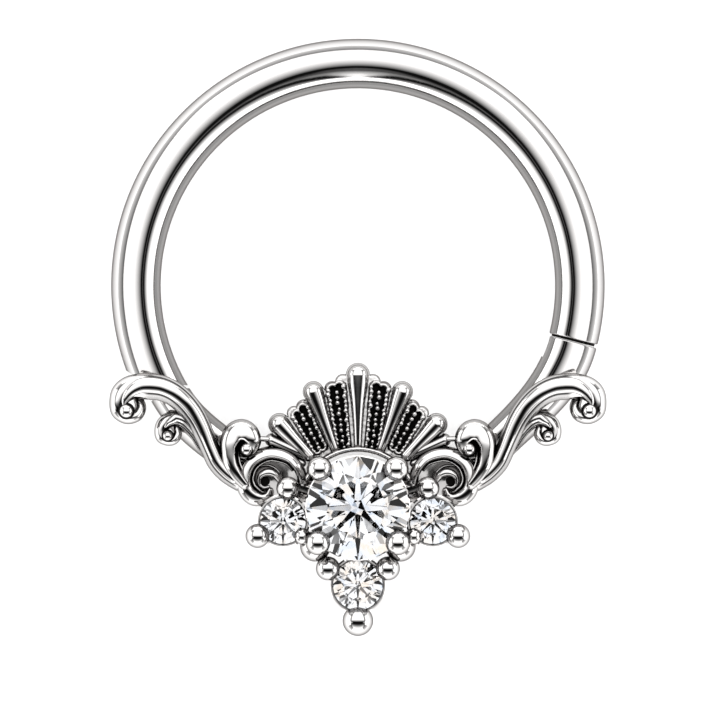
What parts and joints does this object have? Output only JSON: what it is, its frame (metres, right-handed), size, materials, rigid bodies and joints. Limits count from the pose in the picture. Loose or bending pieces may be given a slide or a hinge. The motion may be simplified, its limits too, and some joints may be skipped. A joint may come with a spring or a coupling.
{
  "type": "hinged seam ring",
  "caption": "Piercing ring of round wire with a hinged upper arc, a soldered scroll and shell front, and round cut stones in ball prongs.",
  "frame": {"origin": "on the floor under the middle of the ring's outline, with the ring lying on its back", "axes": "+X across the front towards the open seam, +Y up the hoop away from the tip stone, +Z out of the floor towards the stones' tables"},
  "size_m": [0.012, 0.0144, 0.0026],
  "materials": {
    "wire": "mirror polished surgical steel",
    "pin": "drawn steel pin",
    "casting": "cast and polished steel, darkened in its recesses",
    "stone": "clear faceted cubic zirconia"
  },
  "bodies": {
    "front": {"front_casting": "casting", "hinge_pin": "pin", "centre_stone": "stone", "left_stone": "stone", "right_stone": "stone", "tip_stone": "stone"},
    "arc": {"hinged_arc": "wire"}
  },
  "joints": [
    {"name": "arc_hinge", "type": "hinge", "parent": "front", "child": "arc", "pos_m": [-0.00496, -0.0012, 0.0006], "axis": [0, 0, 1], "range_deg": [0, 60]}
  ]
}
